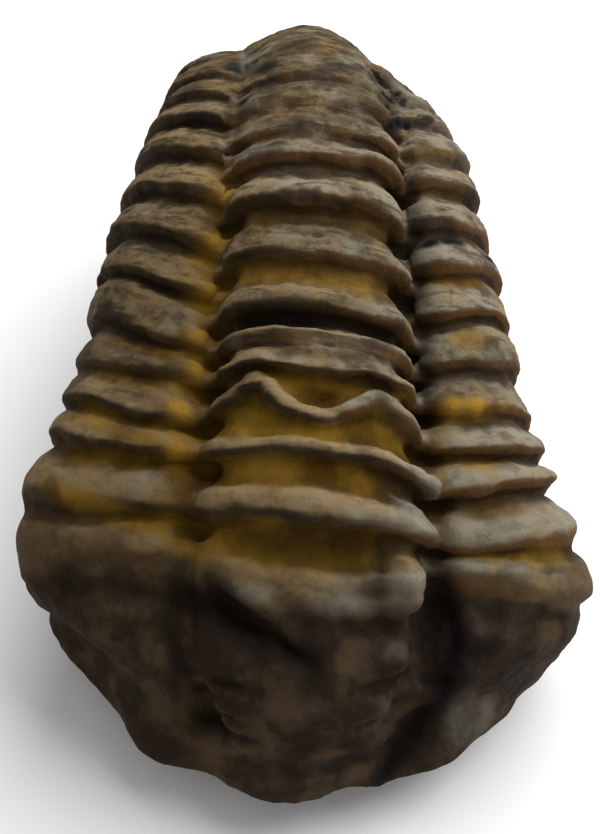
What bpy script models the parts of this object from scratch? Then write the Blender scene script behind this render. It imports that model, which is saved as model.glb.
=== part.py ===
"""A calymenid trilobite fossil, half rolled up, with the stone that fills it: one piece of stone.

The animal lies on its belly side with the head towards -Y and the tail towards +Y. Lengths are in
millimetres and are turned into metres when the mesh is made. The back is a grid of rows and columns.
A row crosses the body from the left edge to the right edge and follows one ring and its ribs. A column
runs from the head to the tail. In the names below, s is the distance along the back from the front
margin, u runs from -1 at the left edge to 1 at the right edge, and x is the distance from the middle of
the axis, the raised lobe that runs down the back.
"""
import bpy
import numpy as np

NODE = "trilobite_fossil"
METRES = 0.001

# The way the back faces at distances along it from the front margin: 0 is forward, 90 up, 180 backward
BACK_LENGTH = 70.0
BACK_DISTANCE = (0.0, 4.5, 12.0, 18.4, 27.0, 37.5, 47.0, 56.0, 64.0, BACK_LENGTH)
BACK_FACING = (8.0, 24.0, 45.0, 61.0, 76.0, 82.0, 94.0, 130.0, 166.0, 184.0)
BACK_SAMPLES = 1401

# Places along the back, and the steps from ring to ring. The rings are pulled apart unevenly.
BORDER_FURROW = 2.6
GLABELLA_FRONT = 3.8
OCCIPITAL_RING = 13.5
FIRST_RING = 18.3
RING_STEPS = (3.2, 2.5, 2.2, 1.8, 2.1, 3.6, 3.7, 3.3, 2.2, 2.7, 2.7, 3.3)
TAIL_RING_STEPS = (2.7, 2.2, 2.0, 1.8, 1.7, 1.5)

# Crests of the occipital ring (0), the thoracic rings (1 to 13) and the tail's rings (14 on)
RING_CRESTS = np.concatenate([
    [OCCIPITAL_RING, FIRST_RING],
    FIRST_RING + np.cumsum(RING_STEPS + TAIL_RING_STEPS),
])
SECOND_RING, THIRD_RING, FOURTH_RING, FIFTH_RING, SIXTH_RING = RING_CRESTS[2:7]
LAST_RING_NUMBER = 13
TAIL_START = 52.0

# The body across, at places along the back: the axis, the shoulder where the ribs bend down, the lower edge
PLACE = (0.0, 3.8, 9.0, 14.5, 18.1, 27.0, 35.0, 44.0, 53.0, 60.0, BACK_LENGTH)
AXIS_HALF_WIDTH = (4.6, 4.9, 6.6, 7.0, 6.8, 6.1, 5.6, 5.1, 4.3, 3.7, 2.6)
AXIS_HEIGHT = (0.8, 1.5, 2.3, 2.2, 2.3, 2.5, 2.2, 2.0, 1.8, 1.4, 0.5)
AXIS_STEEPNESS = (66.0, 70.0, 72.0, 72.0, 72.0, 72.0, 68.0, 60.0, 54.0, 54.0, 54.0)
AXIS_LEAN = (0.0, 0.0, 0.1, 0.5, 0.9, 0.8, 0.9, 1.1, 0.9, 0.0, -0.3)
SHOULDER_SLOPE = (38.0, 32.0, 14.0, 5.0, 5.0, 5.0, 5.0, 5.0, 8.0, 15.0, 25.0)
SHOULDER_INNER = (0.46, 0.48, 0.55, 0.62, 0.62, 0.62, 0.62, 0.62, 0.62, 0.6, 0.55)
SHOULDER_OUTER = (0.42, 0.45, 0.55, 0.62, 0.66, 0.66, 0.66, 0.66, 0.66, 0.6, 0.5)
HALF_WIDTH = (16.0, 16.2, 16.7, 16.8, 15.6, 13.7, 12.2, 10.6, 9.0, 8.3, 8.0)
TIP_TUCK = (0.0, 0.0, 0.3, 0.8, 1.0, 1.4, 1.4, 1.3, 1.0, 0.8, 0.5)
EDGE_Y = (12.2, 12.2, 12.2, 12.8, 16.6, 22.0, 28.5, 36.0, 42.5, 44.5, 45.0)
EDGE_Z = (0.0, 1.0, 2.2, 3.6, 4.5, 4.5, 5.0, 5.5, 6.5, 5.5, 3.0)

# How the rows bend: ring ends forward, ribs backward, and the right side further forward than the left
RING_FORWARD = (0.0, 0.0, 0.3, -0.9, 0.7, 0.3, -0.1, -0.1, 0.3, 0.5, 0.0)
SHOULDER_BACK = (0.0, 0.0, 0.0, 0.2, 1.1, 2.0, 2.8, 3.0, 2.4, 0.8, 0.0)
SKEW = (0.0, 0.0, 0.03, 0.08, 0.12, 0.12, 0.12, 0.12, 0.10, 0.04, 0.0)
AXIS_SHARE = 0.40
SHOULDER_SHARE = 0.75
TIP_RETURN = 0.35
TUCK_BULGE = 1.3

# Heights between one crest (phase 0) and the next one behind it (phase 1). The front rings are narrow
# ropes with hollows between them. The rear rings and the ribs are broad, worn bands.
PHASE = (0.0, 0.10, 0.20, 0.30, 0.45, 0.62, 0.76, 0.84, 0.92, 1.0)
ROPE_PROFILE = (1.0, 0.96, 0.76, 0.38, 0.18, 0.08, 0.10, 0.50, 0.88, 1.0)
BAND_PROFILE = (1.0, 0.96, 0.88, 0.76, 0.50, 0.20, 0.10, 0.38, 0.82, 1.0)
RIB_PROFILE = (1.0, 0.97, 0.92, 0.82, 0.60, 0.26, 0.02, 0.42, 0.86, 1.0)
PROFILE_MIDDLE = 0.35
RING_HEIGHT = 1.15
RIB_HEIGHT = 0.9

# How far the ribs of each side lie behind their rings, next to the axis and at the tips
LAG_PLACE = (17.0, 20.5, 23.0, 26.0, 28.5, 31.5, 35.0, 38.0, 41.0, 45.0, 55.0)
LEFT_LAG = (0.2, 0.2, -0.3, 0.1, 0.4, 1.6, 1.3, 1.3, 1.3, 2.0, 1.5)
LEFT_TIP_LAG = (-1.2, -1.0, -0.8, 0.1, 1.1, 2.8, 2.5, 1.9, 1.7, 2.5, 2.0)
RIGHT_LAG = (-0.3, -0.3, -0.4, 0.0, 0.6, 1.5, 1.2, 0.7, 0.6, 1.0, 0.5)
RIGHT_TIP_LAG = (-0.3, -0.3, -0.7, -0.2, 0.9, 2.2, 1.6, 0.9, 0.7, 1.5, 1.5)
LAG_REACH = 7.0

# Wear towards the tail, by ring number. The right ends of the rings and the ribs kept theirs longer.
WEAR_START = 7.0
WEAR_END = 11.0
RIGHT_WEAR_LAG = 1.5
RIB_WEAR_LAG = 2.5
WORN_SHARE = 0.15
ROPES_END = 5.0
BANDS_START = 8.5
FULL_RELIEF_SPACING = 3.0

# Grooves between the axis and the sides, with a pit between every two rings
AXIAL_FURROW_DEPTH = 0.75
AXIAL_FURROW_REACH = 0.9
PIT_DEPTH = 0.55
PIT_PHASE = 0.64
PIT_REACH = 0.16

# The head: lumps and hollows as height, s, distance from the middle, reach along, reach across
HEAD_LUMPS = (
    (0.55, 9.7, 5.3, 1.4, 1.5),
    (0.45, 6.7, 4.5, 0.9, 1.2),
    (0.30, 4.9, 3.8, 0.7, 1.0),
    (-0.70, 8.0, 4.8, 0.5, 1.4),
    (-0.50, 5.7, 4.1, 0.4, 1.2),
    (0.50, 8.0, 0.0, 4.0, 3.4),
    (0.55, 9.5, 11.5, 3.5, 3.2),
    (0.40, 10.0, 10.4, 1.2, 1.4),
)
BORDER_HEIGHT = 0.2
BORDER_FURROW_DEPTH = 0.3
CHEEK_BORDER_SHARE = 0.1
REAR_BORDER_HEIGHT = 0.4
REAR_BORDER_DEPTH = 0.35
REAR_BORDER_END = 16.0
OCCIPITAL_RING_SHARE = 0.2
OCCIPITAL_FURROW_DEPTH = 0.3

# Breaks and worn places of this specimen: height, start (s, x), end (s, x), width
BREAKS = (
    (-1.1, (12.9, -5.6), (9.9, 0.1), 0.75),
    (-0.9, (13.2, 7.3), (6.0, 7.7), 0.9),
    (-0.8, (4.6, 7.4), (1.4, 4.8), 1.0),
    (-0.4, (6.6, -6.2), (7.2, -4.2), 0.4),
    (-0.4, (4.6, -5.8), (4.6, -2.9), 0.4),
    (-0.7, (15.8, -4.4), (15.6, 2.4), 1.1),
    (1.2, (FIRST_RING - 1.5, 4.7), (OCCIPITAL_RING - 1.2, 5.4), 0.9),
    (0.9, (SECOND_RING - 0.4, 5.4), (SECOND_RING - 0.6, 6.6), 0.8),
    (0.5, (FIRST_RING + 1.5, 3.8), (FIRST_RING + 0.9, 6.0), 0.5),
    (0.4, (SECOND_RING + 1.0, -4.6), (SECOND_RING + 1.0, -3.8), 0.5),
    (-0.8, (THIRD_RING + 0.3, -0.8), (THIRD_RING + 0.3, 1.2), 0.7),
    (0.45, (THIRD_RING + 1.95, -4.0), (THIRD_RING + 1.95, -2.6), 0.45),
    (0.6, (FOURTH_RING + 1.0, -4.6), (FOURTH_RING + 1.0, 4.6), 0.6),
    (-0.45, (FIFTH_RING + 1.3, -4.6), (FIFTH_RING + 1.3, 4.6), 0.4),
)

# How far the broken third ring is bent back or forward: shift, s, x, reach along, reach across
RING_BENDS = (
    (-1.3, THIRD_RING + 1.1, -3.3, 1.5, 1.3),
    (0.8, THIRD_RING - 0.6, -0.2, 1.4, 1.6),
    (-1.2, THIRD_RING + 1.1, 3.4, 1.5, 1.2),
    (0.6, SECOND_RING - 0.3, 6.0, 1.2, 1.2),
)

# Broad swellings and flat places of this specimen: height, s, x, reach along, reach across
SWELLINGS = (
    (1.2, 57.0, -7.6, 7.0, 3.2),
    (0.5, 59.0, -0.5, 6.0, 3.0),
    (-0.7, 54.0, 7.0, 6.0, 3.0),
    (-0.2, 28.0, 14.0, 6.0, 3.0),
    (0.9, 15.6, 16.5, 1.9, 3.0),
    (0.4, 15.5, -16.0, 2.5, 3.0),
    (-1.7, 4.5, -14.0, 5.5, 3.6),
    (1.2, 0.5, -8.2, 3.0, 2.0),
    (-0.5, 0.0, -4.2, 2.0, 1.5),
    (0.4, 0.0, -1.5, 2.0, 1.6),
    (-0.6, 0.0, 2.8, 2.0, 1.8),
    (1.2, 0.5, 8.6, 3.0, 2.7),
    (0.8, 5.0, 14.2, 5.5, 4.0),
)

# The rough stone below the animal's edge, down to the flat spot it rests on
STONE_BELOW_HEAD = 3.5
BASE_SHARE = (0.66, 0.70)
SKIRT_STEPS = (0.2, 0.6, 1.0)
SKIRT_BULGE = 1.3
UNDERCUT = 0.6
SMOOTHING_REACH = 9

# Rows and columns of the solid
HEAD_ROWS = (0.0, 0.8, 1.7, 2.6, 3.6, 4.7, 5.7, 6.8, 8.0, 9.2, 10.3, 11.2, 11.9, 12.6, 13.5, 14.2, 14.9,
             15.7, 16.6, 17.2, 17.8)
RING_ROW_PHASES = (0.0, 0.16, 0.30, 0.52, 0.76, 0.89)
TAIL_ROWS = 9
COLUMNS_EACH_SIDE = 18


def smooth_step(value, low, high):
    """0 below low, 1 above high and a smooth rise between them."""
    t = np.clip((value - low) / (high - low), 0.0, 1.0)
    return t * t * (3.0 - 2.0 * t)


def hill(value, middle, reach):
    """A smooth hill of height 1 about a middle."""
    return np.exp(-((value - middle) / reach) ** 2)


def curve_through(places, values, at):
    """A smooth curve through a few values, which never swings past them."""
    places = np.asarray(places, float)
    values = np.asarray(values, float)
    width = np.diff(places)
    slope = np.diff(values) / width
    agree = slope[:-1] * slope[1:] > 0.0
    mean = 2.0 * slope[:-1] * slope[1:] / np.where(agree, slope[:-1] + slope[1:], 1.0)
    tangent = np.concatenate([slope[:1], np.where(agree, mean, 0.0), slope[-1:]])
    at = np.clip(at, places[0], places[-1])
    i = np.clip(np.searchsorted(places, at, side="right") - 1, 0, len(width) - 1)
    t = (at - places[i]) / width[i]
    blend = (3.0 - 2.0 * t) * t * t
    leave = t * (1.0 - t) ** 2 * width[i] * tangent[i]
    arrive = t * t * (1.0 - t) * width[i] * tangent[i + 1]
    return values[i] * (1.0 - blend) + values[i + 1] * blend + leave - arrive


def across(values, s):
    """A measure of the body's width or height at distances s."""
    return curve_through(PLACE, values, s)


def back_at(s):
    """Points (y, z) of the back's middle line at distances s, and the direction towards the tail there."""
    distance = np.linspace(0.0, BACK_LENGTH, BACK_SAMPLES)
    facing = np.radians(curve_through(BACK_DISTANCE, BACK_FACING, distance))
    heading = np.stack([np.sin(facing), np.cos(facing)], axis=1)
    steps = (heading[1:] + heading[:-1]) / 2.0 * (distance[1] - distance[0])
    line = np.vstack([[0.0, 0.0], np.cumsum(steps, axis=0)])
    point = np.stack([np.interp(s, distance, line[:, k]) for k in (0, 1)], axis=-1)
    tailward = np.stack([np.interp(s, distance, heading[:, k]) for k in (0, 1)], axis=-1)
    return point, tailward


def smooth_back(s, u):
    """Points of the back before any relief, the distances x from the axis and the axis's half width."""
    side = np.sign(u)
    out = np.abs(u)
    top, tailward = back_at(s)
    half_axis = across(AXIS_HALF_WIDTH, s)
    axis_height = across(AXIS_HEIGHT, s)
    edge = np.stack([across(EDGE_Y, s), across(EDGE_Z, s)], axis=-1)
    fall = edge - top
    drop = np.linalg.norm(fall, axis=-1)
    down = fall / drop[..., None]

    # The axis is an arch
    steepness = np.radians(across(AXIS_STEEPNESS, s))
    angle = np.clip(out / AXIS_SHARE, 0.0, 1.0) * steepness
    arch_x = half_axis * np.sin(angle) / np.sin(steepness)
    arch_fall = axis_height * (1.0 - np.cos(angle)) / (1.0 - np.cos(steepness))

    # Each side is one curve from the axis over the shoulder to the tucked-in tip
    t = np.clip((out - AXIS_SHARE) / (1.0 - AXIS_SHARE), 0.0, 1.0)
    slope = np.radians(across(SHOULDER_SLOPE, s))
    half_width = across(HALF_WIDTH, s)
    tuck = across(TIP_TUCK, s)
    inner = across(SHOULDER_INNER, s) * (half_width - half_axis)
    outer = across(SHOULDER_OUTER, s) * (drop - axis_height)
    side_x = ((1 - t) ** 3 * half_axis
              + 3 * t * (1 - t) ** 2 * (half_axis + inner * np.cos(slope))
              + 3 * t * t * (1 - t) * (half_width + TUCK_BULGE * tuck)
              + t ** 3 * (half_width - tuck))
    side_fall = ((1 - t) ** 3 * axis_height
                 + 3 * t * (1 - t) ** 2 * (axis_height + inner * np.sin(slope))
                 + 3 * t * t * (1 - t) * (drop - outer)
                 + t ** 3 * drop)

    on_axis = out <= AXIS_SHARE
    from_axis = np.where(on_axis, arch_x, side_x)
    fallen = np.where(on_axis, arch_fall, side_fall)
    x = side * from_axis

    forward = across(RING_FORWARD, s)
    ring_bend = -forward * np.clip(from_axis / half_axis, 0.0, 1.0) ** 2
    sweep = (across(SHOULDER_BACK, s) + forward) * smooth_step(t, 0.0, SHOULDER_SHARE)
    tip_return = 1.0 - TIP_RETURN * smooth_step(t, SHOULDER_SHARE, 1.0)
    backward = ring_bend + sweep * tip_return - across(SKEW, s) * x
    lean = across(AXIS_LEAN, s) * (1.0 - smooth_step(out, 0.3, 1.0))
    yz = top + fallen[..., None] * down + backward[..., None] * tailward
    return np.stack([x + lean, yz[..., 0], yz[..., 1]], axis=-1), x, half_axis


def outward(points):
    """Outward unit normals of a grid of points."""
    by_row, by_column = np.gradient(points, axis=(0, 1))
    normal = np.cross(by_column, by_row)
    return normal / np.linalg.norm(normal, axis=-1, keepdims=True)


def ring_number(s):
    """Which ring a place is on: whole at a crest, with the fraction as the phase behind it."""
    return np.interp(s, RING_CRESTS, np.arange(len(RING_CRESTS)))


def wear_share(s, x, half_axis):
    """How far the relief is worn away at a place."""
    kept = RIGHT_WEAR_LAG * smooth_step(x / half_axis, 0.2, 0.9)
    kept = np.maximum(kept, RIB_WEAR_LAG * smooth_step(np.abs(x) / half_axis, 1.0, 1.2))
    return smooth_step(ring_number(s) - kept, WEAR_START, WEAR_END)


def rib_lag(s, x, half_axis):
    """How far the ribs lie behind the rings they belong to."""
    outer = smooth_step(np.abs(x) - half_axis, 0.0, LAG_REACH)
    left, left_tip, right, right_tip = (
        curve_through(LAG_PLACE, values, s) for values in (LEFT_LAG, LEFT_TIP_LAG, RIGHT_LAG, RIGHT_TIP_LAG))
    return np.where(x < 0.0, left + (left_tip - left) * outer, right + (right_tip - right) * outer)


def segment_relief(s, bend, x, half_axis, points):
    """Height of the rings on the axis and the ribs beside it, lower where they crowd together."""
    number = ring_number(s + bend)
    phase = number - np.floor(number)
    broad = smooth_step(number, ROPES_END, BANDS_START)
    rope = curve_through(PHASE, ROPE_PROFILE, phase)
    band = curve_through(PHASE, BAND_PROFILE, phase)
    lag = rib_lag(s, x, half_axis)
    rib_number = ring_number(s + bend - lag)
    rib = curve_through(PHASE, RIB_PROFILE, rib_number - np.floor(rib_number))
    ring_height = (rope + (band - rope) * broad - PROFILE_MIDDLE) * RING_HEIGHT
    rib_height = (rib - PROFILE_MIDDLE) * RIB_HEIGHT
    behind_head = smooth_step(s, OCCIPITAL_RING, FIRST_RING - 2.0)
    ring_height *= smooth_step(s, OCCIPITAL_RING - 2.2, OCCIPITAL_RING - 0.4)
    ring_height *= OCCIPITAL_RING_SHARE + (1.0 - OCCIPITAL_RING_SHARE) * behind_head
    rib_height *= smooth_step(s - lag, FIRST_RING - 2.2, FIRST_RING - 0.6)

    stretch = np.linalg.norm(np.gradient(points, axis=0), axis=-1) / np.gradient(s, axis=0)
    spacing = stretch * np.interp(number, np.arange(len(RING_CRESTS) - 1) + 0.5, np.diff(RING_CRESTS))
    crowding = smooth_step(spacing, 0.0, FULL_RELIEF_SPACING)
    wear = 1.0 - (1.0 - WORN_SHARE) * wear_share(s, x, half_axis)
    end = 1.0 - smooth_step(s, BACK_LENGTH - 4.0, BACK_LENGTH - 1.0)
    beside = smooth_step(np.abs(x) / half_axis, 0.92, 1.12)
    return (ring_height + (rib_height - ring_height) * beside) * crowding * wear * end


def furrow_relief(s, x, half_axis):
    """The two grooves between the axis and the sides, with a pit between every two rings."""
    number = ring_number(s)
    pits = hill(number - np.floor(number), PIT_PHASE, PIT_REACH)
    pits *= smooth_step(s, OCCIPITAL_RING, FIRST_RING)
    head_end = smooth_step(s, BORDER_FURROW, GLABELLA_FRONT + 1.0)
    tail_end = 1.0 - 0.7 * smooth_step(s, TAIL_START, TAIL_START + 6.0)
    tail_end *= 1.0 - smooth_step(s, BACK_LENGTH - 6.0, BACK_LENGTH - 2.0)
    tail_end *= 1.0 - (1.0 - WORN_SHARE) * wear_share(s, x, half_axis)
    groove = hill(np.abs(x), half_axis, AXIAL_FURROW_REACH)
    return -groove * (AXIAL_FURROW_DEPTH + PIT_DEPTH * pits) * head_end * tail_end


def head_relief(s, x, half_axis):
    """The head's borders, the furrow behind it, the lobes of its middle, the cheeks and the eyes."""
    outside = smooth_step(np.abs(x) / half_axis, 0.9, 1.2)
    border = 1.0 - (1.0 - CHEEK_BORDER_SHARE) * outside
    height = BORDER_HEIGHT * hill(s, 0.9, 1.1) * border
    height -= BORDER_FURROW_DEPTH * hill(s, BORDER_FURROW, 0.9) * border
    rear = outside * (1.0 - smooth_step(np.abs(x), REAR_BORDER_END - 4.0, REAR_BORDER_END))
    height += REAR_BORDER_HEIGHT * hill(s, OCCIPITAL_RING + 1.2, 1.0) * rear
    height -= REAR_BORDER_DEPTH * hill(s, OCCIPITAL_RING - 1.2, 1.0) * rear
    height -= OCCIPITAL_FURROW_DEPTH * hill(s, OCCIPITAL_RING - 1.7, 0.7) * (1.0 - outside)
    for lump, at_s, at_x, reach_s, reach_x in HEAD_LUMPS:
        height += lump * hill(s, at_s, reach_s) * hill(np.abs(x), at_x, reach_x)
    return height * (1.0 - smooth_step(s, FIRST_RING - 2.2, FIRST_RING - 1.0))


def break_relief(s, x):
    """Ridges and grooves that run straight between two places and fade at their ends."""
    total = np.zeros_like(s)
    for height, start, end, width in BREAKS:
        run = np.subtract(end, start)
        length = np.hypot(*run)
        along = ((s - start[0]) * run[0] + (x - start[1]) * run[1]) / length
        beside = ((s - start[0]) * run[1] - (x - start[1]) * run[0]) / length
        fade = smooth_step(along, -width, width)
        fade *= 1.0 - smooth_step(along, length - width, length + width)
        total += height * hill(beside, 0.0, width) * fade
    return total


def sum_of_hills(table, s, x):
    """Sum of smooth hills, each with a height, a place (s, x) and its reach along and across."""
    total = np.zeros_like(s)
    for height, at_s, at_x, reach_s, reach_x in table:
        total += height * hill(s, at_s, reach_s) * hill(x, at_x, reach_x)
    return total


def back_grid(rows, columns):
    """Points of the finished back."""
    s, u = np.meshgrid(rows, columns, indexing="ij")
    points, x, half_axis = smooth_back(s, u)
    points = points + sum_of_hills(SWELLINGS, s, x)[..., None] * outward(points)
    form = furrow_relief(s, x, half_axis) + head_relief(s, x, half_axis) + break_relief(s, x)
    segments = segment_relief(s, sum_of_hills(RING_BENDS, s, x), x, half_axis, points)
    points = points + form[..., None] * outward(points)
    return points + segments[..., None] * outward(points)


def row_places():
    """Distances of the rows: closer over the head's furrows, and at the same phases of every ring."""
    crests = RING_CRESTS[1:LAST_RING_NUMBER + 2]
    rings = [crest + phase * (following - crest)
             for crest, following in zip(crests[:-1], crests[1:])
             for phase in RING_ROW_PHASES]
    return np.concatenate([HEAD_ROWS, rings, np.linspace(crests[-1], BACK_LENGTH, TAIL_ROWS)])


def column_places():
    half = np.linspace(0.0, 1.0, COLUMNS_EACH_SIDE + 1)
    return np.concatenate([-half[:0:-1], half])


def skirt_loops(edge):
    """Loops of the rough stone from the animal's edge down to the flat base."""
    reach = range(-SMOOTHING_REACH, SMOOTHING_REACH + 1)
    calm = sum(np.roll(edge, k, axis=0) for k in reach) / len(reach)
    middle = (calm.max(axis=0) + calm.min(axis=0)) / 2.0
    inward = middle[:2] - calm[:, :2]
    inward /= np.linalg.norm(inward, axis=1, keepdims=True)
    base = middle[:2] - (middle[:2] - calm[:, :2]) * BASE_SHARE
    loops = []
    for v in SKIRT_STEPS:
        start = edge + (calm - edge) * min(1.0, 2.0 * v)
        bulge = SKIRT_BULGE * np.sin(np.pi * v) - UNDERCUT * (1.0 - v)
        xy = start[:, :2] * (1.0 - v) + base * v - inward * bulge
        z = start[:, 2] * (1.0 - v) - STONE_BELOW_HEAD * v
        loops.append(np.column_stack([xy, z]))
    return loops


def grid_faces(index):
    """Quads between neighbouring rows and columns of a grid of vertex numbers."""
    corners = (index[:-1, :-1], index[:-1, 1:], index[1:, 1:], index[1:, :-1])
    return np.stack([c.ravel() for c in corners], axis=1).tolist()


def fossil_mesh():
    """The back, the skirt of stone and the flat base as one closed mesh that stands on z = 0."""
    back = back_grid(row_places(), column_places())
    rows, columns = back.shape[:2]
    back = back.reshape(-1, 3)
    index = np.arange(len(back)).reshape(rows, columns)
    faces = grid_faces(index)

    rim = np.concatenate([index[0, :], index[1:, -1], index[-1, -2::-1], index[-2:0:-1, 0]])
    loops = skirt_loops(back[rim])
    size = len(rim)
    below = len(back) + np.arange(len(loops) * size).reshape(len(loops), size)
    skirt = np.vstack([rim, below])
    faces += grid_faces(np.hstack([skirt, skirt[:, :1]])[:, ::-1])

    middle = np.append(loops[-1][:, :2].mean(axis=0), -STONE_BELOW_HEAD)
    middle_index = len(back) + len(loops) * size
    faces += [(after, before, middle_index) for before, after in zip(below[-1], np.roll(below[-1], -1))]

    vertices = np.vstack([back, *loops, middle])
    low = vertices.min(axis=0)
    high = vertices.max(axis=0)
    vertices -= ((low[0] + high[0]) / 2.0, (low[1] + high[1]) / 2.0, low[2])
    mesh = bpy.data.meshes.new(NODE)
    mesh.from_pydata((vertices * METRES).tolist(), [], faces)
    return mesh


def stone_material():
    """Weathered grey-brown stone with an ochre cast."""
    material = bpy.data.materials.new("fossil_stone")
    material.use_nodes = True
    shader = material.node_tree.nodes["Principled BSDF"]
    shader.inputs["Base Color"].default_value = (0.16, 0.12, 0.07, 1.0)
    shader.inputs["Roughness"].default_value = 0.85
    shader.inputs["Metallic"].default_value = 0.0
    return material


def main():
    for old in list(bpy.data.objects):
        bpy.data.objects.remove(old, do_unlink=True)
    mesh = fossil_mesh()
    mesh.materials.append(stone_material())
    fossil = bpy.data.objects.new(NODE, mesh)
    bpy.context.scene.collection.objects.link(fossil)


main()
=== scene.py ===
"""The looks of the half rolled-up trilobite fossil.

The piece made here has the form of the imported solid, made again on a finer grid, with the wear, grain, pits
and broken stone that the real surface has. The form works in millimetres: s is the distance along the back
from the front margin, u runs from -1 at the left edge to 1 at the right edge, and x is the distance from the
middle of the axis.
"""
import math
from types import SimpleNamespace
import bpy
import numpy as np
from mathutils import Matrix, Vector, noise


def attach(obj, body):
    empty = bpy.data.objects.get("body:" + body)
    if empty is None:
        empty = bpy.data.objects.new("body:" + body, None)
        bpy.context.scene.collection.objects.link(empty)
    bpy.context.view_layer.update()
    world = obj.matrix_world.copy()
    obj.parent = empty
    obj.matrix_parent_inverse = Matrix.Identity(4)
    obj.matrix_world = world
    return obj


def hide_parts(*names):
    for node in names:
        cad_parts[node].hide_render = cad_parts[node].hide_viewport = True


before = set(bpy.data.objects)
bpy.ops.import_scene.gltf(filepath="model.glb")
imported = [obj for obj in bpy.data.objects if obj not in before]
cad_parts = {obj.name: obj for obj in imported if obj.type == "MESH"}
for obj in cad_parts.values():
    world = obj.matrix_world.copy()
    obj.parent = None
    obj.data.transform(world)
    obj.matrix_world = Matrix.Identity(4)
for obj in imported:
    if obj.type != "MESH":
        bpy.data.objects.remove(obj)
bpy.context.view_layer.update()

NODE = "trilobite_fossil"
METRES = 0.001

# The way the back faces at distances along it from the front margin: 0 is forward, 90 up, 180 backward
BACK_LENGTH = 70.0
BACK_DISTANCE = (0.0, 4.5, 12.0, 18.4, 27.0, 37.5, 47.0, 56.0, 64.0, BACK_LENGTH)
BACK_FACING = (8.0, 24.0, 45.0, 61.0, 76.0, 82.0, 94.0, 130.0, 166.0, 184.0)
BACK_SAMPLES = 1401

# Places along the back, and the steps from ring to ring. The rings are pulled apart unevenly.
BORDER_FURROW = 2.6
GLABELLA_FRONT = 3.8
OCCIPITAL_RING = 13.5
FIRST_RING = 18.3
RING_STEPS = (3.2, 2.5, 2.2, 1.8, 2.1, 3.6, 3.7, 3.3, 2.2, 2.7, 2.7, 3.3)
TAIL_RING_STEPS = (2.7, 2.2, 2.0, 1.8, 1.7, 1.5)

# Crests of the occipital ring (0), the thoracic rings (1 to 13) and the tail's rings (14 on)
RING_CRESTS = np.concatenate([
    [OCCIPITAL_RING, FIRST_RING],
    FIRST_RING + np.cumsum(RING_STEPS + TAIL_RING_STEPS),
])
SECOND_RING, THIRD_RING, FOURTH_RING, FIFTH_RING, SIXTH_RING = RING_CRESTS[2:7]
TAIL_START = 52.0

# The body across, at places along the back: the axis, the shoulder where the ribs bend down, the lower edge
PLACE = (0.0, 3.8, 9.0, 14.5, 18.1, 27.0, 35.0, 44.0, 53.0, 60.0, BACK_LENGTH)
AXIS_HALF_WIDTH = (4.6, 4.9, 6.6, 7.0, 6.8, 6.1, 5.6, 5.1, 4.3, 3.7, 2.6)
AXIS_HEIGHT = (0.8, 1.5, 2.3, 2.2, 2.3, 2.5, 2.2, 2.0, 1.8, 1.4, 0.5)
AXIS_STEEPNESS = (66.0, 70.0, 72.0, 72.0, 72.0, 72.0, 68.0, 60.0, 54.0, 54.0, 54.0)
AXIS_LEAN = (0.0, 0.0, 0.1, 0.5, 0.9, 0.8, 0.9, 1.1, 0.9, 0.0, -0.3)
SHOULDER_SLOPE = (38.0, 32.0, 14.0, 5.0, 5.0, 5.0, 5.0, 5.0, 8.0, 15.0, 25.0)
SHOULDER_INNER = (0.46, 0.48, 0.55, 0.62, 0.62, 0.62, 0.62, 0.62, 0.62, 0.6, 0.55)
SHOULDER_OUTER = (0.42, 0.45, 0.55, 0.62, 0.66, 0.66, 0.66, 0.66, 0.66, 0.6, 0.5)
HALF_WIDTH = (16.0, 16.2, 16.7, 16.8, 15.6, 13.7, 12.2, 10.6, 9.0, 8.3, 8.0)
TIP_TUCK = (0.0, 0.0, 0.3, 0.8, 1.0, 1.4, 1.4, 1.3, 1.0, 0.8, 0.5)
EDGE_Y = (12.2, 12.2, 12.2, 12.8, 16.6, 22.0, 28.5, 36.0, 42.5, 44.5, 45.0)
EDGE_Z = (0.0, 1.0, 2.2, 3.6, 4.5, 4.5, 5.0, 5.5, 6.5, 5.5, 3.0)

# How the rows bend: ring ends forward, ribs backward, and the right side further forward than the left
RING_FORWARD = (0.0, 0.0, 0.3, -0.9, 0.7, 0.3, -0.1, -0.1, 0.3, 0.5, 0.0)
SHOULDER_BACK = (0.0, 0.0, 0.0, 0.2, 1.1, 2.0, 2.8, 3.0, 2.4, 0.8, 0.0)
SKEW = (0.0, 0.0, 0.03, 0.08, 0.12, 0.12, 0.12, 0.12, 0.10, 0.04, 0.0)
AXIS_SHARE = 0.40
SHOULDER_SHARE = 0.75
TIP_RETURN = 0.35
TUCK_BULGE = 1.3

# Heights between one crest (phase 0) and the next one behind it (phase 1). The front rings are narrow
# ropes with hollows between them. The rear rings and the ribs are broad, worn bands.
PHASE = (0.0, 0.10, 0.20, 0.30, 0.45, 0.62, 0.76, 0.84, 0.92, 1.0)
ROPE_PROFILE = (1.0, 0.96, 0.76, 0.38, 0.18, 0.08, 0.10, 0.50, 0.88, 1.0)
BAND_PROFILE = (1.0, 0.96, 0.88, 0.76, 0.50, 0.20, 0.10, 0.38, 0.82, 1.0)
RIB_PROFILE = (1.0, 0.97, 0.92, 0.82, 0.60, 0.26, 0.02, 0.42, 0.86, 1.0)
PROFILE_MIDDLE = 0.35
RING_HEIGHT = 1.15
RIB_HEIGHT = 0.9

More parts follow.
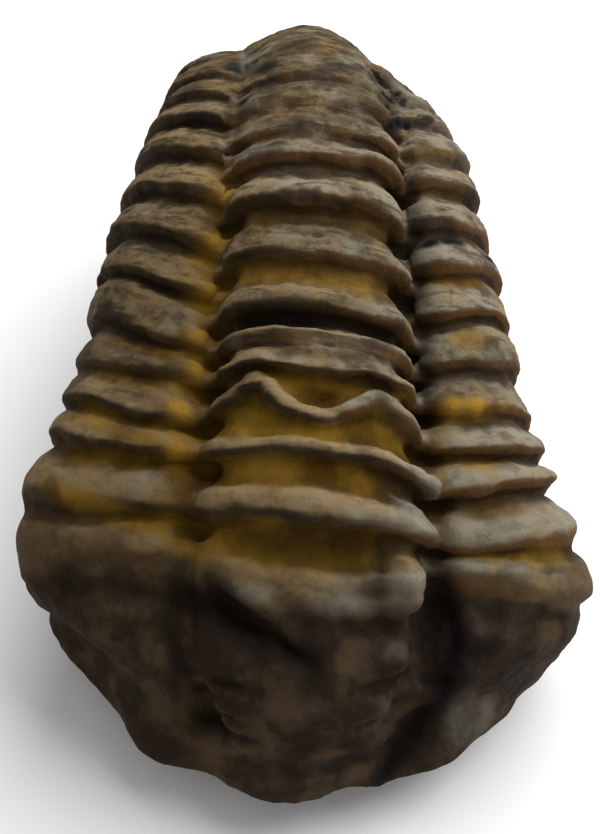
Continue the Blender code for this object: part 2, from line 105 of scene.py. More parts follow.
# How far the ribs of each side lie behind their rings, next to the axis and at the tips
LAG_PLACE = (17.0, 20.5, 23.0, 26.0, 28.5, 31.5, 35.0, 38.0, 41.0, 45.0, 55.0)
LEFT_LAG = (0.2, 0.2, -0.3, 0.1, 0.4, 1.6, 1.3, 1.3, 1.3, 2.0, 1.5)
LEFT_TIP_LAG = (-1.2, -1.0, -0.8, 0.1, 1.1, 2.8, 2.5, 1.9, 1.7, 2.5, 2.0)
RIGHT_LAG = (-0.3, -0.3, -0.4, 0.0, 0.6, 1.5, 1.2, 0.7, 0.6, 1.0, 0.5)
RIGHT_TIP_LAG = (-0.3, -0.3, -0.7, -0.2, 0.9, 2.2, 1.6, 0.9, 0.7, 1.5, 1.5)
LAG_REACH = 7.0

# Wear towards the tail, by ring number. The right ends of the rings and the ribs kept theirs longer.
WEAR_START = 7.0
WEAR_END = 11.0
RIGHT_WEAR_LAG = 1.5
RIB_WEAR_LAG = 2.5
WORN_SHARE = 0.15
ROPES_END = 5.0
BANDS_START = 8.5
FULL_RELIEF_SPACING = 3.0

# Grooves between the axis and the sides, with a pit between every two rings
AXIAL_FURROW_DEPTH = 0.75
AXIAL_FURROW_REACH = 0.9
PIT_DEPTH = 0.55
PIT_PHASE = 0.64
PIT_REACH = 0.16

# The head: lumps and hollows as height, s, distance from the middle, reach along, reach across
HEAD_LUMPS = (
    (0.55, 9.7, 5.3, 1.4, 1.5),
    (0.45, 6.7, 4.5, 0.9, 1.2),
    (0.30, 4.9, 3.8, 0.7, 1.0),
    (-0.70, 8.0, 4.8, 0.5, 1.4),
    (-0.50, 5.7, 4.1, 0.4, 1.2),
    (0.50, 8.0, 0.0, 4.0, 3.4),
    (0.55, 9.5, 11.5, 3.5, 3.2),
    (0.40, 10.0, 10.4, 1.2, 1.4),
)
BORDER_HEIGHT = 0.2
BORDER_FURROW_DEPTH = 0.3
CHEEK_BORDER_SHARE = 0.1
REAR_BORDER_HEIGHT = 0.4
REAR_BORDER_DEPTH = 0.35
REAR_BORDER_END = 16.0
OCCIPITAL_RING_SHARE = 0.2
OCCIPITAL_FURROW_DEPTH = 0.3

# Breaks and worn places of this specimen: height, start (s, x), end (s, x), width
BREAKS = (
    (-1.1, (12.9, -5.6), (9.9, 0.1), 0.75),
    (-0.9, (13.2, 7.3), (6.0, 7.7), 0.9),
    (-0.8, (4.6, 7.4), (1.4, 4.8), 1.0),
    (-0.4, (6.6, -6.2), (7.2, -4.2), 0.4),
    (-0.4, (4.6, -5.8), (4.6, -2.9), 0.4),
    (-0.7, (15.8, -4.4), (15.6, 2.4), 1.1),
    (1.2, (FIRST_RING - 1.5, 4.7), (OCCIPITAL_RING - 1.2, 5.4), 0.9),
    (0.9, (SECOND_RING - 0.4, 5.4), (SECOND_RING - 0.6, 6.6), 0.8),
    (0.5, (FIRST_RING + 1.5, 3.8), (FIRST_RING + 0.9, 6.0), 0.5),
    (0.4, (SECOND_RING + 1.0, -4.6), (SECOND_RING + 1.0, -3.8), 0.5),
    (-0.8, (THIRD_RING + 0.3, -0.8), (THIRD_RING + 0.3, 1.2), 0.7),
    (0.45, (THIRD_RING + 1.95, -4.0), (THIRD_RING + 1.95, -2.6), 0.45),
    (0.6, (FOURTH_RING + 1.0, -4.6), (FOURTH_RING + 1.0, 4.6), 0.6),
    (-0.45, (FIFTH_RING + 1.3, -4.6), (FIFTH_RING + 1.3, 4.6), 0.4),
)

# How far the broken third ring is bent back or forward: shift, s, x, reach along, reach across
RING_BENDS = (
    (-1.3, THIRD_RING + 1.1, -3.3, 1.5, 1.3),
    (0.8, THIRD_RING - 0.6, -0.2, 1.4, 1.6),
    (-1.2, THIRD_RING + 1.1, 3.4, 1.5, 1.2),
    (0.6, SECOND_RING - 0.3, 6.0, 1.2, 1.2),
)

# Broad swellings and flat places of this specimen: height, s, x, reach along, reach across
SWELLINGS = (
    (1.2, 57.0, -7.6, 7.0, 3.2),
    (0.5, 59.0, -0.5, 6.0, 3.0),
    (-0.7, 54.0, 7.0, 6.0, 3.0),
    (-0.2, 28.0, 14.0, 6.0, 3.0),
    (0.9, 15.6, 16.5, 1.9, 3.0),
    (0.4, 15.5, -16.0, 2.5, 3.0),
    (-1.7, 4.5, -14.0, 5.5, 3.6),
    (1.2, 0.5, -8.2, 3.0, 2.0),
    (-0.5, 0.0, -4.2, 2.0, 1.5),
    (0.4, 0.0, -1.5, 2.0, 1.6),
    (-0.6, 0.0, 2.8, 2.0, 1.8),
    (1.2, 0.5, 8.6, 3.0, 2.7),
    (0.8, 5.0, 14.2, 5.5, 4.0),
)

# The rough stone below the animal's edge, down to the flat spot it rests on
STONE_BELOW_HEAD = 3.5
BASE_SHARE = (0.66, 0.70)
SKIRT_BULGE = 1.3
UNDERCUT = 0.6

# Rows and columns of the fine surface, the loops of stone below it, and how many points of the rim to either
# side even out the stone's outline
ROWS = 400
COLUMNS = 205
SKIRT_LOOPS = 12
SKIRT_CALMING = 60

# Wear and breakage of the surface: heights, depths and sizes in millimetres, streaks in turns a millimetre
RING_WANDER = 0.30
RING_WANDER_SIZE = 3.5
SWELL_HEIGHT = 0.16
SWELL_SIZE = 3.2
GRAIN_HEIGHT = 0.07
GRAIN_SIZE = 0.8
STREAK_HEIGHT = 0.08
STREAKS_ACROSS = 0.45
STREAKS_ALONG = 2.2
UNEVEN_SHARE = 0.6
UNEVEN_SIZE = 6.0
CHIP_DEPTH = 0.32
CHIP_SIZE = 1.3
KNOB_HEIGHT = 0.22
KNOB_REACH = 0.75
HEAD_BREAK_HEIGHT = 0.22
HEAD_BREAK_SIZE = 3.0
STONE_HEIGHT = 0.7
STONE_SIZE = 5.0
STONE_GRAIN_HEIGHT = 0.25
STONE_GRAIN_SIZE = 1.4

# The surface is calm up to one distance from the front margin and at its roughest from the other on. The
# unevenness of the rings starts a little way in from both ends of the back.
CALM_END = 14.0
ROUGH_START = 38.0
EDGE_START = 1.0
EDGE_END = 6.0

# Wear is at full strength where the rows are at least this share of their usual distance apart
CROWDED_SHARE = 0.6

# How ragged the patches of colour are at their edges
RAGGED_SHARE = 0.45
RAGGED_SIZE = 1.6

# Knobs of orange clay along the left furrow and one right rib, as places (s, x)
CLAY_KNOBS = (
    (38.8, -5.5), (35.1, -6.0), (31.9, -6.2), (28.8, -6.8), (26.7, -6.8), (23.9, -7.6), (21.3, -7.7),
    (26.0, 7.9), (26.0, 9.3),
)

# Crumbled places of the surface: strength, s, x, reach along, reach across
CRUMBLED = (
    (1.0, 51.5, 5.6, 3.0, 1.8),
    (1.0, 47.5, 5.6, 2.6, 1.5),
    (0.6, 49.0, 8.0, 4.0, 1.5),
    (0.8, 15.0, 4.9, 2.0, 1.2),
    (0.9, 20.8, 6.2, 0.9, 1.0),
)

# Dark lines on and just behind this specimen's head: strength, width and the places (s, x) they run through
DARK_LINES = (
    (1.0, 0.9, ((12.4, -6.4), (11.8, -4.6), (11.0, -3.0), (10.2, -0.8), (10.0, 0.5))),
    (1.0, 0.9, ((14.0, 7.2), (12.6, 8.1), (11.0, 8.6), (8.5, 8.6), (5.8, 8.3), (4.0, 7.3), (2.4, 6.2),
                (0.8, 5.0))),
    (0.6, 0.5, ((10.3, 9.3), (10.8, 10.8))),
    (0.6, 0.4, ((11.4, -7.4), (5.5, -7.0))),
    (0.6, 0.4, ((6.2, -6.0), (7.2, -4.3))),
    (0.6, 0.3, ((4.1, -5.8), (4.6, -2.6))),
    (0.5, 0.3, ((4.2, 1.9), (4.7, 3.2))),
    (0.5, 0.4, ((12.5, -11.2), (11.7, -6.9))),
    (0.6, 0.3, ((17.0, 3.5), (14.5, 3.8))),
)

# Clay between two rings further back: strength, ring number, reach
CLAY_BETWEEN_RINGS = ((0.8, 6.4, 0.5), (0.5, 7.4, 0.5))

# Patches of colour: strength, s, x, reach along, reach across
CLAY_PATCHES = (
    (0.8, 17.0, -12.6, 0.7, 2.6),
    (0.9, 16.4, -9.2, 0.9, 2.4),
    (0.7, 15.0, -6.8, 1.0, 1.4),
    (0.8, 21.6, -10.7, 0.6, 3.0),
    (0.8, 27.4, -9.0, 0.6, 2.4),
    (0.9, 25.8, 8.8, 0.7, 2.4),
    (0.7, 30.2, 9.2, 0.7, 1.8),
    (0.8, 33.9, 8.6, 0.6, 2.4),
    (0.6, 40.3, 8.2, 0.5, 2.2),
    (0.6, 43.4, 7.5, 0.5, 1.8),
    (0.7, 22.4, 9.7, 0.6, 2.2),
    (0.7, 19.8, 9.8, 0.6, 2.4),
    (0.8, 16.7, 10.6, 0.6, 2.6),
    (0.6, 16.6, 13.2, 0.7, 1.8),
    (0.6, 21.5, 7.0, 4.5, 0.8),
    (0.9, 20.5, -7.5, 4.5, 0.9),
)
# Black stains; the one at (30.7, 6.6) is painted shade in the right furrow
STAINS_AND_SHADE = (
    (1.0, 36.6, 7.0, 0.6, 0.8),
    (1.0, 36.8, 8.6, 0.5, 1.1),
    (1.0, 36.0, 10.9, 0.5, 0.7),
    (1.0, 51.2, 4.2, 0.5, 0.6),
    (1.0, 50.0, 5.4, 0.5, 0.6),
    (1.0, 48.6, 4.7, 0.6, 0.7),
    (1.0, 46.0, 4.9, 0.7, 0.6),
    (0.8, 46.8, 7.2, 0.4, 0.6),
    (0.7, 52.4, 7.0, 0.5, 0.6),
    (0.8, 46.2, -4.5, 0.4, 0.35),
    (0.8, 42.8, -5.2, 0.4, 0.35),
    (0.9, 12.1, -5.4, 0.8, 1.3),
    (0.5, 30.7, 6.6, 1.0, 0.8),
    (0.5, 12.2, 10.6, 0.8, 0.8),
    (0.4, 9.0, 12.2, 0.7, 1.0),
    (0.4, 6.4, 11.4, 0.6, 0.8),
    (0.5, 15.9, 6.2, 0.9, 0.5),
    (0.5, 13.9, 3.4, 0.6, 0.8),
    (0.35, 13.2, -1.0, 0.5, 1.0),
)
# Slate-dark patches; those on the left of the rear rings are partly painted shade below the rings
SLATE_AND_SHADE_PATCHES = (
    (0.9, 51.1, -5.0, 0.9, 0.8),
    (0.9, 49.4, -3.2, 0.9, 1.0),
    (0.9, 47.4, -3.0, 0.8, 0.9),
    (0.7, 44.8, -6.9, 0.6, 1.5),
    (0.7, 43.0, -1.6, 0.7, 1.6),
    (0.6, 40.9, -3.0, 0.7, 1.2),
    (0.6, 48.0, -8.0, 0.8, 1.4),
    (0.6, 51.8, 4.8, 0.8, 0.8),
    (0.9, 46.2, 5.0, 0.8, 0.7),
    (0.5, 24.9, 0.7, 0.45, 1.3),
)
WARM_PATCHES = (
    (0.8, 3.8, 1.7, 0.9, 0.9),
    (0.6, 1.6, 3.4, 0.6, 0.8),
    (0.7, 6.3, -0.5, 0.8, 0.7),
    (0.5, 2.4, -4.8, 1.0, 1.4),
    (0.6, 15.2, 15.4, 1.5, 1.0),
    (0.6, 10.8, 14.0, 1.2, 0.9),
    (0.5, 8.8, 6.7, 0.9, 0.6),
    (0.4, 24.0, 5.0, 0.8, 1.4),
)
# Painted shade, darker places where shade falls: in the hollow behind the first ring, on both sides and
# across the axis; strength, s, x, reach along, reach across
PAINTED_SHADE_PATCHES = (
    (0.35, 31.0, -10.0, 6.0, 5.0),
    (0.20, 28.5, 10.0, 3.0, 5.0),
    (0.15, 21.0, -9.0, 5.0, 6.0),
    (0.30, 13.0, -13.0, 2.5, 4.0),
    (0.60, 15.8, -1.2, 1.3, 5.0),
    (0.30, 34.6, 0.0, 1.6, 5.5),
    (0.20, 30.6, 0.0, 1.2, 5.5),
    (0.25, 17.5, -10.5, 2.5, 4.5),
)
PALE_PATCHES = (
    (0.5, 14.4, 4.9, 1.6, 0.7),
    (0.5, 13.1, 1.8, 0.7, 1.8),
    (0.4, 13.4, -2.8, 0.6, 1.4),
    (0.7, 21.0, 6.3, 0.6, 0.9),
    (0.5, 18.2, 4.0, 0.5, 3.2),
    (0.6, 19.4, 5.2, 0.6, 0.9),
    (0.4, 2.4, 9.5, 2.2, 1.5),
    (0.25, 10.4, 4.9, 0.6, 0.8),
    (0.5, 50.0, 6.5, 3.5, 1.8),
    (0.35, 45.0, 9.0, 4.0, 3.5),
    (0.5, 53.0, -4.3, 4.0, 0.4),
)

# Values of the colour masks on the stone below the rim, where they aren't 0
MASKS_BELOW_RIM = {"stone": 1.0, "height": 0.4}

# Colours, linear
RIDGE_GREY = (0.198, 0.174, 0.126)
RIDGE_TAN = (0.202, 0.142, 0.070)
PATCH_TAN = (0.185, 0.122, 0.056)
RIB_BROWN = (0.085, 0.056, 0.026)
RIB_GREY = (0.085, 0.066, 0.040)
# Dark brown of streaks, mottles and freckles, also the painted shade on the left's faces turned towards the
# head
STREAK_AND_SHADE_BROWN = (0.022, 0.014, 0.007)
# Rust, laid on the right's faces turned towards the head as their painted shade
RUST_AND_SHADE = (0.095, 0.042, 0.011)
PATCH_PALE = (0.225, 0.198, 0.150)
SLATE = (0.028, 0.025, 0.023)
# Near black slate, also the painted shade below the left rear rings
SLATE_DARK_AND_SHADE = (0.014, 0.012, 0.012)
OCHRE = (0.200, 0.108, 0.009)
OCHRE_DEEP = (0.068, 0.034, 0.003)
CLAY_ORANGE = (0.300, 0.160, 0.017)
# Painted shade: the dark brown laid into recesses and onto darker places where shade falls
PAINTED_SHADE_BROWN = (0.012, 0.007, 0.003)
HEAD_BROWN = (0.016, 0.010, 0.006)
HEAD_TAN = (0.054, 0.036, 0.019)
HEAD_MAUVE = (0.056, 0.038, 0.029)
WARM_BROWN = (0.085, 0.050, 0.026)
STONE_BROWN = (0.046, 0.032, 0.019)
STONE_TAN = (0.090, 0.064, 0.036)
# Near black of stains and of painted shade in pits, furrows, breaks and chips
BLACK_STAIN_AND_SHADE = (0.0035, 0.0032, 0.0034)
PALE_CRUST = (0.190, 0.178, 0.142)

# The camera, in the head's own millimetres: it looks down on the head from close by
CAMERA_AIM = (0.0, 21.9, 7.3)
CAMERA_ELEVATION = 52.8
CAMERA_DISTANCE = 100.0
FOCAL_PIXELS = 1619.0
FRAME_HEIGHT_PIXELS = 834.0
SENSOR_HEIGHT = 24.0

# The finish of the stone: grain depth in millimetres
STONE_SPECULAR = 0.04
GRAIN_BUMP_STRENGTH = 0.6
GRAIN_BUMP_DEPTH = 0.22

# The floor, the light and the nearest thing that the camera shows, in metres
FLOOR_REACH = 1.5
FLOOR_COLOUR = (0.86, 0.86, 0.86)
FLOOR_ROUGHNESS = 0.9
FILL_STRENGTH = 0.47
KEY_PLACE = (0.20, 0.21, 0.31)
KEY_SIZE = 0.55
KEY_ENERGY = 3.8
CLIP_START = 0.005


def smooth_step(value, low, high):
    """0 below low, 1 above high and a smooth rise between them."""
    t = np.clip((value - low) / (high - low), 0.0, 1.0)
    return t * t * (3.0 - 2.0 * t)


def hill(value, middle, reach):
    """A smooth hill of height 1 about a middle."""
    return np.exp(-((value - middle) / reach) ** 2)


def curve_through(places, values, at):
    """A smooth curve through a few values, which never swings past them."""
    places = np.asarray(places, float)
    values = np.asarray(values, float)
    width = np.diff(places)
    slope = np.diff(values) / width
    agree = slope[:-1] * slope[1:] > 0.0
    mean = 2.0 * slope[:-1] * slope[1:] / np.where(agree, slope[:-1] + slope[1:], 1.0)
    tangent = np.concatenate([slope[:1], np.where(agree, mean, 0.0), slope[-1:]])
    at = np.clip(at, places[0], places[-1])
    i = np.clip(np.searchsorted(places, at, side="right") - 1, 0, len(width) - 1)
    t = (at - places[i]) / width[i]
    blend = (3.0 - 2.0 * t) * t * t
    leave = t * (1.0 - t) ** 2 * width[i] * tangent[i]
    arrive = t * t * (1.0 - t) * width[i] * tangent[i + 1]
    return values[i] * (1.0 - blend) + values[i + 1] * blend + leave - arrive


def across(values, s):
    """A measure of the body's width or height at distances s."""
    return curve_through(PLACE, values, s)


def back_at(s):
    """Points (y, z) of the back's middle line at distances s, and the direction towards the tail there."""
    distance = np.linspace(0.0, BACK_LENGTH, BACK_SAMPLES)
    facing = np.radians(curve_through(BACK_DISTANCE, BACK_FACING, distance))
    heading = np.stack([np.sin(facing), np.cos(facing)], axis=1)
    steps = (heading[1:] + heading[:-1]) / 2.0 * (distance[1] - distance[0])
    line = np.vstack([[0.0, 0.0], np.cumsum(steps, axis=0)])
    point = np.stack([np.interp(s, distance, line[:, k]) for k in (0, 1)], axis=-1)
    tailward = np.stack([np.interp(s, distance, heading[:, k]) for k in (0, 1)], axis=-1)
    return point, tailward


def smooth_back(s, u):
    """Points of the back before any relief, the distances x from the axis and the axis's half width."""
    side = np.sign(u)
    out = np.abs(u)
    top, tailward = back_at(s)
    half_axis = across(AXIS_HALF_WIDTH, s)
    axis_height = across(AXIS_HEIGHT, s)
    edge = np.stack([across(EDGE_Y, s), across(EDGE_Z, s)], axis=-1)
    fall = edge - top
    drop = np.linalg.norm(fall, axis=-1)
    down = fall / drop[..., None]

    # The axis is an arch
    steepness = np.radians(across(AXIS_STEEPNESS, s))
    angle = np.clip(out / AXIS_SHARE, 0.0, 1.0) * steepness
    arch_x = half_axis * np.sin(angle) / np.sin(steepness)
    arch_fall = axis_height * (1.0 - np.cos(angle)) / (1.0 - np.cos(steepness))

    # Each side is one curve from the axis over the shoulder to the tucked-in tip
    t = np.clip((out - AXIS_SHARE) / (1.0 - AXIS_SHARE), 0.0, 1.0)
    slope = np.radians(across(SHOULDER_SLOPE, s))
    half_width = across(HALF_WIDTH, s)
    tuck = across(TIP_TUCK, s)
    inner = across(SHOULDER_INNER, s) * (half_width - half_axis)
    outer = across(SHOULDER_OUTER, s) * (drop - axis_height)
    side_x = ((1 - t) ** 3 * half_axis
              + 3 * t * (1 - t) ** 2 * (half_axis + inner * np.cos(slope))
              + 3 * t * t * (1 - t) * (half_width + TUCK_BULGE * tuck)
              + t ** 3 * (half_width - tuck))
    side_fall = ((1 - t) ** 3 * axis_height
                 + 3 * t * (1 - t) ** 2 * (axis_height + inner * np.sin(slope))
                 + 3 * t * t * (1 - t) * (drop - outer)
                 + t ** 3 * drop)

    on_axis = out <= AXIS_SHARE
    from_axis = np.where(on_axis, arch_x, side_x)
    fallen = np.where(on_axis, arch_fall, side_fall)
    x = side * from_axis

    forward = across(RING_FORWARD, s)
    ring_bend = -forward * np.clip(from_axis / half_axis, 0.0, 1.0) ** 2
    sweep = (across(SHOULDER_BACK, s) + forward) * smooth_step(t, 0.0, SHOULDER_SHARE)
    tip_return = 1.0 - TIP_RETURN * smooth_step(t, SHOULDER_SHARE, 1.0)
    backward = ring_bend + sweep * tip_return - across(SKEW, s) * x
    lean = across(AXIS_LEAN, s) * (1.0 - smooth_step(out, 0.3, 1.0))
    yz = top + fallen[..., None] * down + backward[..., None] * tailward
    return np.stack([x + lean, yz[..., 0], yz[..., 1]], axis=-1), x, half_axis


def outward(points):
    """Outward unit normals of a grid of points."""
    by_row, by_column = np.gradient(points, axis=(0, 1))
    normal = np.cross(by_column, by_row)
    return normal / np.linalg.norm(normal, axis=-1, keepdims=True)


def ring_number(s):
    """Which ring a place is on: whole at a crest, with the fraction as the phase behind it."""
    return np.interp(s, RING_CRESTS, np.arange(len(RING_CRESTS)))


def wear_share(s, x, half_axis):
    """How far the relief is worn away at a place."""
    kept = RIGHT_WEAR_LAG * smooth_step(x / half_axis, 0.2, 0.9)
    kept = np.maximum(kept, RIB_WEAR_LAG * smooth_step(np.abs(x) / half_axis, 1.0, 1.2))
    return smooth_step(ring_number(s) - kept, WEAR_START, WEAR_END)


def rib_lag(s, x, half_axis):
    """How far the ribs lie behind the rings they belong to."""
    outer = smooth_step(np.abs(x) - half_axis, 0.0, LAG_REACH)
    left, left_tip, right, right_tip = (
        curve_through(LAG_PLACE, values, s) for values in (LEFT_LAG, LEFT_TIP_LAG, RIGHT_LAG, RIGHT_TIP_LAG))
    return np.where(x < 0.0, left + (left_tip - left) * outer, right + (right_tip - right) * outer)


def segment_relief(s, bend, x, half_axis, points):
    """Height of the rings on the axis and the ribs beside it, lower where they crowd together."""
    number = ring_number(s + bend)
    phase = number - np.floor(number)
    broad = smooth_step(number, ROPES_END, BANDS_START)
    rope = curve_through(PHASE, ROPE_PROFILE, phase)
    band = curve_through(PHASE, BAND_PROFILE, phase)
    lag = rib_lag(s, x, half_axis)
    rib_number = ring_number(s + bend - lag)
    rib = curve_through(PHASE, RIB_PROFILE, rib_number - np.floor(rib_number))
    ring_height = (rope + (band - rope) * broad - PROFILE_MIDDLE) * RING_HEIGHT
    rib_height = (rib - PROFILE_MIDDLE) * RIB_HEIGHT
    behind_head = smooth_step(s, OCCIPITAL_RING, FIRST_RING - 2.0)
    ring_height *= smooth_step(s, OCCIPITAL_RING - 2.2, OCCIPITAL_RING - 0.4)
    ring_height *= OCCIPITAL_RING_SHARE + (1.0 - OCCIPITAL_RING_SHARE) * behind_head
    rib_height *= smooth_step(s - lag, FIRST_RING - 2.2, FIRST_RING - 0.6)

    stretch = np.linalg.norm(np.gradient(points, axis=0), axis=-1) / np.gradient(s, axis=0)
    spacing = stretch * np.interp(number, np.arange(len(RING_CRESTS) - 1) + 0.5, np.diff(RING_CRESTS))
    crowding = smooth_step(spacing, 0.0, FULL_RELIEF_SPACING)
    wear = 1.0 - (1.0 - WORN_SHARE) * wear_share(s, x, half_axis)
    end = 1.0 - smooth_step(s, BACK_LENGTH - 4.0, BACK_LENGTH - 1.0)
    beside = smooth_step(np.abs(x) / half_axis, 0.92, 1.12)
    return (ring_height + (rib_height - ring_height) * beside) * crowding * wear * end


def furrow_relief(s, x, half_axis):
    """The two grooves between the axis and the sides, with a pit between every two rings."""
    number = ring_number(s)
    pits = hill(number - np.floor(number), PIT_PHASE, PIT_REACH)
    pits *= smooth_step(s, OCCIPITAL_RING, FIRST_RING)
    head_end = smooth_step(s, BORDER_FURROW, GLABELLA_FRONT + 1.0)
    tail_end = 1.0 - 0.7 * smooth_step(s, TAIL_START, TAIL_START + 6.0)
    tail_end *= 1.0 - smooth_step(s, BACK_LENGTH - 6.0, BACK_LENGTH - 2.0)
    tail_end *= 1.0 - (1.0 - WORN_SHARE) * wear_share(s, x, half_axis)
    groove = hill(np.abs(x), half_axis, AXIAL_FURROW_REACH)
    return -groove * (AXIAL_FURROW_DEPTH + PIT_DEPTH * pits) * head_end * tail_end


def head_relief(s, x, half_axis):
    """The head's borders, the furrow behind it, the lobes of its middle, the cheeks and the eyes."""
    outside = smooth_step(np.abs(x) / half_axis, 0.9, 1.2)
    border = 1.0 - (1.0 - CHEEK_BORDER_SHARE) * outside
    height = BORDER_HEIGHT * hill(s, 0.9, 1.1) * border
    height -= BORDER_FURROW_DEPTH * hill(s, BORDER_FURROW, 0.9) * border
    rear = outside * (1.0 - smooth_step(np.abs(x), REAR_BORDER_END - 4.0, REAR_BORDER_END))
    height += REAR_BORDER_HEIGHT * hill(s, OCCIPITAL_RING + 1.2, 1.0) * rear
    height -= REAR_BORDER_DEPTH * hill(s, OCCIPITAL_RING - 1.2, 1.0) * rear
    height -= OCCIPITAL_FURROW_DEPTH * hill(s, OCCIPITAL_RING - 1.7, 0.7) * (1.0 - outside)
    for lump, at_s, at_x, reach_s, reach_x in HEAD_LUMPS:
        height += lump * hill(s, at_s, reach_s) * hill(np.abs(x), at_x, reach_x)
    return height * (1.0 - smooth_step(s, FIRST_RING - 2.2, FIRST_RING - 1.0))


def break_relief(s, x):
    """Ridges and grooves that run straight between two places and fade at their ends."""
    total = np.zeros_like(s)
    for height, start, end, width in BREAKS:
        run = np.subtract(end, start)
        length = np.hypot(*run)
        along = ((s - start[0]) * run[0] + (x - start[1]) * run[1]) / length
        beside = ((s - start[0]) * run[1] - (x - start[1]) * run[0]) / length
        fade = smooth_step(along, -width, width)
        fade *= 1.0 - smooth_step(along, length - width, length + width)
        total += height * hill(beside, 0.0, width) * fade
    return total


def sum_of_hills(table, s, x):
    """Sum of smooth hills, each with a height, a place (s, x) and its reach along and across."""
    total = np.zeros_like(s)
    for height, at_s, at_x, reach_s, reach_x in table:
        total += height * hill(s, at_s, reach_s) * hill(x, at_x, reach_x)
    return total


def patches(points, size, octaves, place):
    """Soft random patches of about the given size: one number near -1 to 1 for each point."""
    shifted = (points / size + place).reshape(-1, 3)
    values = [noise.fractal(p, 1.0, 2.0, octaves) for p in shifted.tolist()]
    return np.array(values).reshape(points.shape[:-1])


def ragged_patches(table, s, x, ragged):
    """Patches with ragged edges, each with a strength, a place (s, x) and its reach along and across."""
    total = np.zeros_like(s)
    for strength, at_s, at_x, reach_s, reach_x in table:
        near = hill(s, at_s, reach_s) * hill(x, at_x, reach_x)
        total = np.maximum(total, strength * smooth_step(near + ragged * np.sqrt(near), 0.1, 0.85))
    return total


def blurred(values, reach):
    """Values of the grid averaged over neighbours, twice as far along as across."""
    for axis, size in ((0, 2 * reach), (1, reach)):
        margins = [(size, size) if k == axis else (0, 0) for k in (0, 1)]
        total = np.cumsum(np.pad(values, margins, mode="edge"), axis=axis)
        total = np.insert(total, 0, 0.0, axis=axis)
        width = 2 * size + 1
        upper = np.take(total, range(width, total.shape[axis]), axis=axis)
        lower = np.take(total, range(0, total.shape[axis] - width), axis=axis)
        values = (upper - lower) / width
    return values


def distance_to_line(line, s, x):
    """Distance to the nearest point of a line through several places (s, x)."""
    nearest = np.full_like(s, np.inf)
    for (s0, x0), (s1, x1) in zip(line, line[1:]):
        run = (s1 - s0, x1 - x0)
        share = np.clip(((s - s0) * run[0] + (x - x0) * run[1]) / (run[0] ** 2 + run[1] ** 2), 0.0, 1.0)
        nearest = np.minimum(nearest, np.hypot(s - s0 - share * run[0], x - x0 - share * run[1]))
    return nearest


def back_form():
    """The back on the fine grid with its rings, ribs, furrows and breaks, none of them quite even."""
    rows = np.linspace(0.0, BACK_LENGTH, ROWS)
    columns = np.linspace(-1.0, 1.0, COLUMNS)
    s, u = np.meshgrid(rows, columns, indexing="ij")
    smooth, x, half_axis = smooth_back(s, u)
    smooth = smooth + sum_of_hills(SWELLINGS, s, x)[..., None] * outward(smooth)

    # The rings wander a little, so no two run alike
    inner = smooth_step(s, EDGE_START, EDGE_END)
    inner *= 1.0 - smooth_step(s, BACK_LENGTH - EDGE_END, BACK_LENGTH - EDGE_START)
    wander = RING_WANDER * patches(smooth, RING_WANDER_SIZE, octaves=2, place=11.0) * inner
    worn_s = s + wander
    breaks = break_relief(worn_s, x)
    form = furrow_relief(worn_s, x, half_axis) + head_relief(worn_s, x, half_axis) + breaks
    bend = wander + sum_of_hills(RING_BENDS, s, x)
    segments = segment_relief(s, bend, x, half_axis, smooth)
    segments *= 1.0 + UNEVEN_SHARE * patches(smooth, UNEVEN_SIZE, octaves=2, place=31.0) * inner
    points = smooth + form[..., None] * outward(smooth)
    points = points + segments[..., None] * outward(points)
    return SimpleNamespace(
        s=s, x=x, half_axis=half_axis, worn_s=worn_s, smooth=smooth, points=points,
        form=form, segments=segments, breaks=breaks)


def add_wear(back):
    """Swellings, grain, streaks along the rings, chips, knobs of clay and the broken surface of the head."""
    s = back.s
    x = back.x
    points = back.points
    back.rear = smooth_step(s, CALM_END, ROUGH_START)
    back.head = 1.0 - smooth_step(back.worn_s, OCCIPITAL_RING - 1.5, OCCIPITAL_RING + 0.3)
    detail = SWELL_HEIGHT * patches(points, SWELL_SIZE, octaves=3, place=3.0)
    detail += GRAIN_HEIGHT * patches(points, GRAIN_SIZE, octaves=4, place=7.0) * (0.7 + 0.3 * back.rear)
    along_ring = np.stack([x * STREAKS_ACROSS, s * STREAKS_ALONG, np.zeros_like(s)], axis=-1)
    streaks = STREAK_HEIGHT * patches(along_ring, 1.0, octaves=3, place=23.0)
    detail += streaks * (0.2 + 0.8 * back.rear) * (1.0 - back.head)
    crumbled = np.clip(sum_of_hills(CRUMBLED, s, x), 0.0, 1.0)
    back.chips = smooth_step(patches(points, CHIP_SIZE, octaves=4, place=41.0), 0.0, 0.4) * crumbled
    detail -= CHIP_DEPTH * back.chips
    knobs = sum(hill(s, at_s, KNOB_REACH) * hill(x, at_x, KNOB_REACH) for at_s, at_x in CLAY_KNOBS)
    back.knobs = np.clip(knobs, 0.0, 1.0)
    detail += KNOB_HEIGHT * back.knobs
    detail += HEAD_BREAK_HEIGHT * patches(points, HEAD_BREAK_SIZE, octaves=4, place=57.0) * back.head
    back.level = back.form + back.segments + detail

    # The wear fades where the rows run together, so that the surface doesn't fold over itself
    rows_apart = np.linalg.norm(np.gradient(back.smooth, axis=0), axis=-1)
    detail *= smooth_step(rows_apart, 0.0, CROWDED_SHARE * BACK_LENGTH / (ROWS - 1))
    back.worn = points + detail[..., None] * outward(points)


def turned_to_head(back):
    """How far the surface turns towards the head, compared with the smooth back."""
    tailward = np.gradient(back.smooth, axis=0)
    tailward /= np.linalg.norm(tailward, axis=-1, keepdims=True)
    return -np.sum(outward(back.worn) * tailward, axis=-1)


